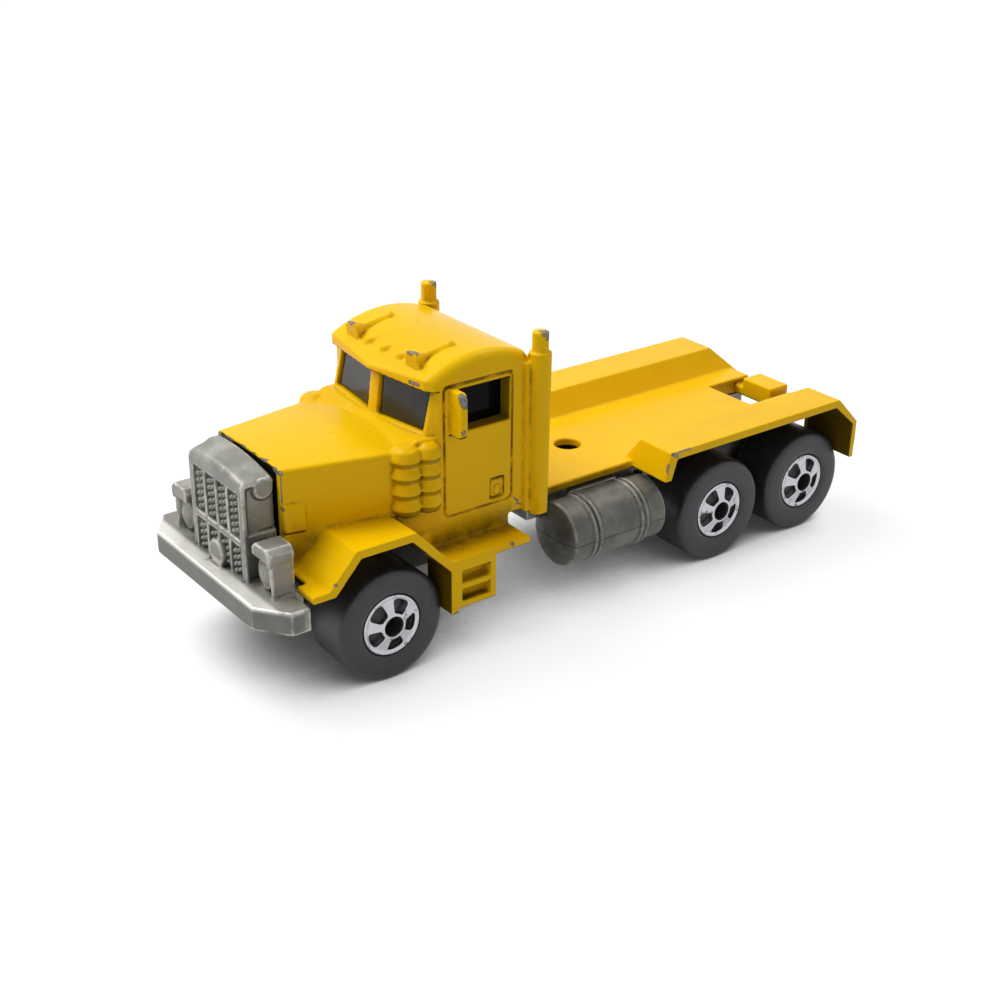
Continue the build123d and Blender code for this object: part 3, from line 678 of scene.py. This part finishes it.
grilleMesh = {
    "floorX": 34.32,
    "columns": (-3.19, -1.06, 1.06, 3.19),    # middles between the bars
    "spread": 0.37,
    "low": 11.5,
    "high": 19.3,
    "crossBar": (14.1, 15.2),
    "pitch": 0.66,
    "radius": 0.28,
    "profile": [(1.0, -0.1), (0.95, 0.2), (0.6, 0.46)],     # share of the radius, mm forward
    "tip": 0.6,
    "around": 8,
}
lampLens = {
    "x": 34.05,
    "y": 7.4,
    "z": 12.95,
    "half": (1.22, 1.5),
    "profile": [(1.0, -0.5), (1.0, 0.14), (0.95, 0.22), (0.87, 0.22), (0.82, 0.14),      # rim
                (0.74, 0.24), (0.6, 0.4), (0.4, 0.54), (0.2, 0.62)],                     # dome
    "tip": 0.64,
    "around": 40,
}


def button(profile, tip, halfY, halfZ, around):
    # P(i, u) = (x_i, halfY s_i cos u, halfZ s_i sin u), closed by a fan at the tip and one at the foot
    share, x = np.array(profile).T[:, :, None]
    u = np.linspace(0, 2 * np.pi, around, endpoint=False)[None, :]
    y, z = halfY * share * np.cos(u), halfZ * share * np.sin(u)
    rings = np.stack(np.broadcast_arrays(x, y, z), -1).reshape(-1, 3)
    verts = np.concatenate([rings, [[tip, 0, 0], [profile[0][1], 0, 0]]])
    c = np.arange(around)
    c2 = (c + 1) % around
    last = len(rings) - around
    tipFan = np.stack([last + c, last + c2, np.full(around, len(rings))], 1)
    footFan = np.stack([c2, c, np.full(around, len(rings) + 1)], 1)
    return verts, [gridFaces(len(profile), around, wrapCols=True), tipFan, footFan]


def repeated(name, shape, middles):
    # one shape at many places, as one piece of the base
    verts, parts = shape
    step = np.arange(len(middles))[:, None, None] * len(verts)
    faces = [f for part in parts for f in (part[None] + step).reshape(-1, part.shape[1]).tolist()]
    places = (middles[:, None, :] + verts[None]).reshape(-1, 3)
    meshObject(name, places, faces, "truck", zincMaterial)


def makeGrilleMesh():
    # rows of studs staggered by half a pitch
    g = grilleMesh
    rows = np.arange(g["low"], g["high"], g["pitch"])
    y, side, row = (k.reshape(-1) for k in np.meshgrid(g["columns"], (-1, 1), rows, indexing="ij"))
    stagger = (side + 1) * g["pitch"] / 4
    middles = np.stack([np.full(len(y), g["floorX"]), y + side * g["spread"], row + stagger], 1)
    middles = middles[(middles[:, 2] < g["crossBar"][0]) | (middles[:, 2] > g["crossBar"][1])]
    shape = button(g["profile"], g["tip"], g["radius"], g["radius"], g["around"])
    repeated("grille_studs", shape, middles)


def makeLenses():
    g = lampLens
    middles = np.array([[g["x"], sign * g["y"], g["z"]] for sign in (1, -1)])
    repeated("lamp_lenses", button(g["profile"], g["tip"], *g["half"], g["around"]), middles)


makeLenses()
makeGrilleMesh()
print("base dressed")


# wheels: a closed profile turned about the axle, with five windows sunk into the hub

wheelFacts = {
    "axles": {"front": 23.35, "mid": -18.1, "rear": -30.65},
    "turns": {"front": 45.7, "mid": 56.0, "rear": 49.0},      # degrees, first hub window
    "faceY": 10.9,
    "axleZ": 5.6,
    "around": 160,
    "windowR": (1.3, 2.6),
    "windowHalf": 21.5,        # degrees
    "windowDepth": 0.55,
    "windowCorner": 0.22,
    "windowEdge": 0.05,        # half width of the step at a window's border
    "hubR": (2.66, 1.29, 28),            # from, to, points across the hub
    "hubSlope": ((1.2, 2.75), (0.1, -0.35)),     # radii and heights between the hub's corners
    "treadY": (-5.1, -0.9, 6),           # from, to, points across the tread
    "treadR": 5.6,
}
wheelCorners = [  # radius, distance out of the tyre's face, corner radius
    (0.61, -5.5, 0.05), (4.0, -5.5, 0.2), (4.2, -5.2, 0.15), (4.9, -5.2, 0.15), (5.05, -5.5, 0.12),
    (5.6, -5.5, 0.3),
    (5.6, 0.0, 0.75), (3.62, 0.0, 0.18), (3.2, -0.16, 0.1), (3.12, -0.36, 0.05),
    (2.75, -0.35, 0.06), (1.2, 0.1, 0.06), (0.97, 0.1, 0.05), (0.96, -1.9, 0.05), (0.61, -1.9, 0.02),
]


def windowDistance(r, degrees):
    # rounded box distance in the hub's plane, from the nearest of the five windows
    inner, outer = wheelFacts["windowR"]
    corner = wheelFacts["windowCorner"]
    phi = np.abs((degrees + 36) % 72 - 36)
    qr = np.abs(r - (inner + outer) / 2) - (outer - inner) / 2 + corner
    qa = np.radians(phi - wheelFacts["windowHalf"]) * r + corner
    return np.hypot(np.maximum(qr, 0), np.maximum(qa, 0)) + np.minimum(np.maximum(qr, qa), 0) - corner


def wheelGrid():
    # P(i, a) = (r_i cos a, y_i - depth * window(r_i, a), r_i sin a)
    path = roundedPath(wheelCorners, 5)
    hub = np.linspace(*wheelFacts["hubR"])
    hub = np.stack([hub, np.interp(hub, *wheelFacts["hubSlope"])], 1)
    cut = int(np.argmax((path[:, 0] < 2.0) & (path[:, 1] > -1.0)))
    path = np.concatenate([path[:cut], hub, path[cut:]])
    tread = np.linspace(*wheelFacts["treadY"])
    cut = int(np.argmax((path[:, 0] > 5.5) & (path[:, 1] > -1.0)))
    tread = np.stack([np.full(len(tread), wheelFacts["treadR"]), tread], 1)
    path = np.concatenate([path[:cut], tread, path[cut:]])
    a = np.linspace(0, 360, wheelFacts["around"], endpoint=False)[None, :]
    r, y = path[:, :1], path[:, 1:]
    edge = wheelFacts["windowEdge"]
    sunk = smoothStep(edge, -edge, windowDistance(r, a)) * (y > -1.0)
    y = y - wheelFacts["windowDepth"] * sunk
    r, y, a = np.broadcast_arrays(r, y, np.radians(a))
    verts = np.stack([r * np.cos(a), y, r * np.sin(a)], -1)
    return verts.reshape(-1, 3), gridFaces(len(path), wheelFacts["around"], True, True)


# hub foil: five sectors round the windows, S(t, v) = (1 - v) window(t) + v sector(t) in polar coordinates

foilFacts = {
    "inner": 1.04,
    "outer": 3.06,
    "lift": 0.1,
    "thick": 0.08,
    "dish": ((0.9, 1.2, 2.7, 3.1), (0.1, 0.1, -0.33, -0.35)),     # radii and heights
    "lip": (0.13, 2.88, 0.17),           # bead round the rim: height, radius, half width
    "ring": (0.02, 1.1, 0.1),            # and round the axle hole
    "fold": 0.05,              # valley along each spoke
    "spokeIn": (1.25, 1.6),    # radii between which the valley starts and ends
    "spokeOut": (2.75, 2.5),
    "turnDown": 0.07,          # at the windows' borders
    "side": 14,                # points on each side of the loops
    "squareness": 5.0,
}


def roundBead(r, height, middle, half):
    # half ellipse, height sqrt(1 - ((r - middle) / half)^2)
    return height * np.sqrt(np.maximum(1 - ((r - middle) / half) ** 2, 0))


def foilHeight(r, phi):
    f = foilFacts
    base = np.interp(r, *f["dish"]) + f["lift"]
    spoke = np.radians(36 - np.abs(phi)) / np.radians(36 - wheelFacts["windowHalf"])
    reach = smoothStep(*f["spokeIn"], r) * smoothStep(*f["spokeOut"], r)
    beads = roundBead(r, *f["lip"]), roundBead(r, *f["ring"])
    return base + beads[0] + beads[1] - f["fold"] * np.clip(1 - spoke, 0, 1) * reach


def foilGrid():
    f = foilFacts
    n = f["side"]
    s = np.linspace(-1, 1, n, endpoint=False)
    one = np.ones(n)
    sides = ((s, -one), (one, s), (-s, one), (-one, -s))        # radial, angular
    square = np.concatenate([np.stack(side, 1) for side in sides])
    soft = square / (np.abs(square) ** f["squareness"]).sum(1, keepdims=True) ** (1 / f["squareness"])
    inner, outer = wheelFacts["windowR"]
    windowR = (inner + outer) / 2 + soft[:, 0] * (outer - inner) / 2
    window = np.stack([windowR, soft[:, 1] * wheelFacts["windowHalf"]], 1)
    sectorR = (f["inner"] + f["outer"]) / 2 + square[:, 0] * (f["outer"] - f["inner"]) / 2
    sector = np.stack([sectorR, square[:, 1] * 36.0], 1)
    v = np.array([0, 0.03, 0.08, 0.16, 0.28, 0.42, 0.56, 0.7, 0.82, 0.92, 1.0])[:, None, None]
    polar = (1 - v) * window + v * sector
    r, phi = polar[..., 0], polar[..., 1]
    height = foilHeight(r, phi) - f["turnDown"] * smoothStep(0.1, 0.0, v[..., 0])
    rows, cols = r.shape
    sheet = gridFaces(rows, cols, False, True)
    parts = []
    for k in range(5):
        a = np.radians(phi + 72 * k)
        top = np.stack([r * np.cos(a), height, r * np.sin(a)], -1).reshape(-1, 3)
        low = top - [0, f["thick"], 0]
        size = rows * cols
        c = np.arange(cols)
        n2 = (c + 1) % cols
        sill = np.stack([c, n2, n2 + size, c + size], 1)                       # down into the window
        rim = (c // n == 1) | (c // n == 3)
        last = size - cols
        skirt = np.stack([last + c, last + n2, last + n2 + size, last + c + size], 1)[rim][:, ::-1]
        faces = np.concatenate([sheet[:, ::-1], sheet + size, sill, skirt])
        parts.append((np.concatenate([top, low]), faces))
    return weld(*joinGrids(parts))


def turned(verts, degrees):
    a = math.radians(degrees)
    x, y, z = verts.T
    return np.stack([x * math.cos(a) - z * math.sin(a), y, x * math.sin(a) + z * math.cos(a)], 1)


blackPlastic = {"dark": rgb(46, 47, 51), "light": rgb(56, 57, 61), "scuff": rgb(84, 83, 82)}
brightFoil = {"bright": rgb(190, 190, 194), "worn": rgb(62, 60, 58)}
smoked = {
    "screen": (rgb(28, 25, 20), rgb(40, 35, 27)),
    # side panes darker than the windscreen: painted shade
    "side": rgb(15, 15, 14),
    "from": (15.2, 15.8),      # x where the windscreen starts
    "shine": (0.05, 0.38),     # side panes, windscreen
}
axleSteel = {"clean": rgb(120, 119, 116), "dull": rgb(66, 62, 58)}


def makePlastic():
    s = Shades("blackPlastic")
    grain = s.noise(1.4, 4, 0.6)
    scuff = s.times(s.ramp(s.noise(0.5, 6, 0.7, 0.3), 0.55, 0.8), 0.5)
    color = s.mixColor(s.ramp(grain, 0.3, 0.7), blackPlastic["dark"], blackPlastic["light"])
    color = s.mixColor(scuff, color, blackPlastic["scuff"])
    normal = s.bump(grain, 0.012, 0.4)
    return s.set(Base_Color=color, Roughness=s.mixValue(s.ramp(grain, 0.3, 0.75), 0.36, 0.5), Normal=normal)


def makeFoil():
    s = Shades("brightFoil")
    worn = s.ramp(s.noise(0.75, 6, 0.7, 0.6), 0.56, 0.66)
    color = s.mixColor(s.times(worn, 0.75), brightFoil["bright"], brightFoil["worn"])
    haze = s.noise(2.5, 4, 0.6)
    rough = s.mixValue(s.ramp(haze, 0.35, 0.75), 0.12, 0.3)
    rough = s.mixValue(worn, rough, 0.42)
    normal = s.bump(s.noise(1.1, 3), 0.05, 0.5)
    return s.set(Base_Color=color, Metallic=1.0, Roughness=rough, Normal=normal)


def makeSmoked():
    s = Shades("smokedPlastic")
    x = s.axes()[0]
    haze = s.noise(0.35, 4, 0.6)
    ahead = s.ramp(x, *smoked["from"])            # the windscreen is glossier than the side panes
    color = s.mixColor(s.ramp(haze, 0.35, 0.7), *smoked["screen"])
    # side panes painted darker than the windscreen, as shade
    color = s.mixColor(ahead, smoked["side"], color)
    rough = s.mixValue(s.ramp(s.noise(1.2, 5, 0.65), 0.4, 0.75), 0.1, 0.28)
    shine = s.mixValue(ahead, *smoked["shine"])
    normal = s.bump(haze, 0.08, 0.4)
    return s.set(Base_Color=color, Roughness=rough, Normal=normal, Specular_IOR_Level=shine)


def makeSteel():
    s = Shades("axleSteel")
    drawn = s.noise(2.0, 4, 0.6)
    color = s.mixColor(s.ramp(drawn, 0.35, 0.7), axleSteel["clean"], axleSteel["dull"])
    return s.set(Base_Color=color, Metallic=1.0, Roughness=0.42, Normal=s.bump(drawn, 0.02, 0.4))


def makeWheels():
    plastic, foil = makePlastic(), makeFoil()
    tyreVerts, tyreFaces = wheelGrid()
    foilVerts, foilFaces = foilGrid()
    for place, x in wheelFacts["axles"].items():
        for side, sign in (("left", 1), ("right", -1)):
            body = f"wheel_{place}_{side}"
            shift = np.array([x, wheelFacts["faceY"], wheelFacts["axleZ"]])
            for kind, verts, faces, slotName, material, node in (
                    ("tyre", tyreVerts, tyreFaces, "black_plastic", plastic, body),
                    ("foil", foilVerts, foilFaces, "bright_foil", foil, f"hub_foil_{place}_{side}")):
                put = (turned(verts, wheelFacts["turns"][place]) + shift) * [1, sign, 1]
                name = f"{kind}_{place}_{side}"
                piece = meshObject(name, put, outward(put, faces), body, material)
                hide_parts(node)


makeWheels()
print("wheels turned")

plain = {"window_insert": makeSmoked(), "axle": makeSteel()}
for name, node in nodes.items():
    for key, material in plain.items():
        if name.startswith(key):
            node.data.materials.clear()
            node.data.materials.append(material)


# raised panes of the insert, which fill the windscreen openings almost flush

screen = {
    "mid": (18.45, 17.75),        # outer face at the middle of the cab, low and high
    "corner": (18.0, 16.4),       # and at the corner
    "cornerY": 7.9,
    "z": (20.0, 26.4),
    "openY": (0.75, 7.45),
    "openLow": (22.0, 22.2),      # at both ends of openY
    "openHigh": (26.2, 25.95),
    "gap": 0.05,
    "sink": 0.3,
    "deep": 1.15,
    "round": 0.12,
    "steps": (28, 20),            # quads across and up
}


def makePanes():
    # X(y, z) = mid(z) + (corner(z) - mid(z)) y / cornerY, less the sink
    # and an edge that falls off by round * e^2
    g = screen
    u, v = np.meshgrid(*[np.linspace(0, 1, n + 1) for n in g["steps"]])
    y = g["openY"][0] + g["gap"] + u * (g["openY"][1] - g["openY"][0] - 2 * g["gap"])
    low, high = (np.interp(y, g["openY"], g[k]) for k in ("openLow", "openHigh"))
    z = low + g["gap"] + v * (high - low - 2 * g["gap"])
    mid, corner = (np.interp(z, g["z"], g[k]) for k in ("mid", "corner"))
    across, up = g["steps"]
    edge = np.minimum(np.minimum(u, 1 - u) * across, np.minimum(v, 1 - v) * up)
    x = mid + (corner - mid) * y / g["cornerY"] - g["sink"] - g["round"] * np.clip(1 - edge, 0, 1) ** 2
    grids = []
    for sign in (1, -1):
        front = np.stack([x, sign * y, z], -1)
        grids.append(slab(front, front - [g["deep"], 0, 0]))
    verts, faces = joinGrids(grids)
    meshObject("screen_panes", verts, faces, "truck", plain["window_insert"])


makePanes()
print("panes set")


# floor and light

studio = {
    "floor": 4.0,                    # m
    "floorSeen": 0.35,               # what the camera and reflections see
    "floorGiven": 0.8,               # what the toy gets back from it
    "glow": 0.75,
    "contact": 0.04,                 # share of the glow left under the toy
    "contactReach": 15.0,            # mm
    "contactSpan": (0.18, 0.68),     # openness from full shade to none
    "farGlow": 0.9,
    "farSpan": (0.06, 0.35),         # m from the middle
    "fill": 0.3,
    "aim": (0, 0, 8),                # mm, where the lamps point
}


def makeFloor():
    h = studio["floor"] / 2
    mesh = bpy.data.meshes.new("floor")
    mesh.from_pydata([(-h, -h, 0), (h, -h, 0), (h, h, 0), (-h, h, 0)], [], [(0, 1, 2, 3)])
    floor = bpy.data.objects.new("floor", mesh)
    scene.collection.objects.link(floor)
    s = Shades("floorPaper")
    path = s.node("ShaderNodeLightPath")
    seen = s.most(*[path.outputs[k] for k in ("Is Camera Ray", "Is Glossy Ray", "Is Transmission Ray")])
    clear = s.node("ShaderNodeAmbientOcclusion", {"Distance": studio["contactReach"] * mm}).outputs["AO"]
    shade = s.mixValue(s.ramp(clear, *studio["contactSpan"]), studio["contact"], 1.0)
    away = s.node("ShaderNodeVectorMath", {0: s.coords}, operation="LENGTH").outputs["Value"]
    tone = s.mixValue(seen, studio["floorGiven"], studio["floorSeen"])
    paper = s.node("ShaderNodeCombineColor", {0: tone, 1: tone, 2: tone}).outputs[0]
    glow = s.mixValue(s.ramp(away, *studio["farSpan"]), studio["glow"], studio["farGlow"])
    s.set(Base_Color=paper, Roughness=1.0, Specular_IOR_Level=0.0,
          Emission_Color=(1, 1, 1, 1), Emission_Strength=s.times(seen, shade, glow))
    mesh.materials.append(s.material)


def makeWorld():
    # white to the camera and in reflections, dim to diffuse rays
    world = bpy.data.worlds.new("studio")
    scene.world = world
    world.use_nodes = True
    tree = world.node_tree
    ground = tree.nodes["Background"]
    ground.inputs["Color"].default_value = (1, 1, 1, 1)
    path = tree.nodes.new("ShaderNodeLightPath")
    seen = path.outputs["Is Camera Ray"]
    for key in ("Is Glossy Ray", "Is Transmission Ray"):
        either = tree.nodes.new("ShaderNodeMath")
        either.operation = "MAXIMUM"
        tree.links.new(seen, either.inputs[0])
        tree.links.new(path.outputs[key], either.inputs[1])
        seen = either.outputs[0]
    white = tree.nodes.new("ShaderNodeMix")
    white.inputs[2].default_value, white.inputs[3].default_value = studio["fill"], 1.0
    tree.links.new(seen, white.inputs[0])
    tree.links.new(white.outputs[0], ground.inputs["Strength"])


lamps = [  # name, place in mm, size in mm, watts
    ("overheadSoftbox", (120, -140, 320), 260, 1.1),
    ("rearGlint", (-190, 10, 300), 70, 0.16),
]


def makeLamps():
    for name, place, size, watts in lamps:
        data = bpy.data.lights.new(name, "AREA")
        data.shape = "SQUARE"
        data.size = size * mm
        data.energy = watts
        lamp = bpy.data.objects.new(name, data)
        scene.collection.objects.link(lamp)
        lamp.location = Vector(place) * mm
        aim = Vector(studio["aim"]) * mm - lamp.location
        lamp.rotation_euler = aim.to_track_quat("-Z", "Y").to_euler()


makeFloor()
makeWorld()
makeLamps()
print("studio lit")
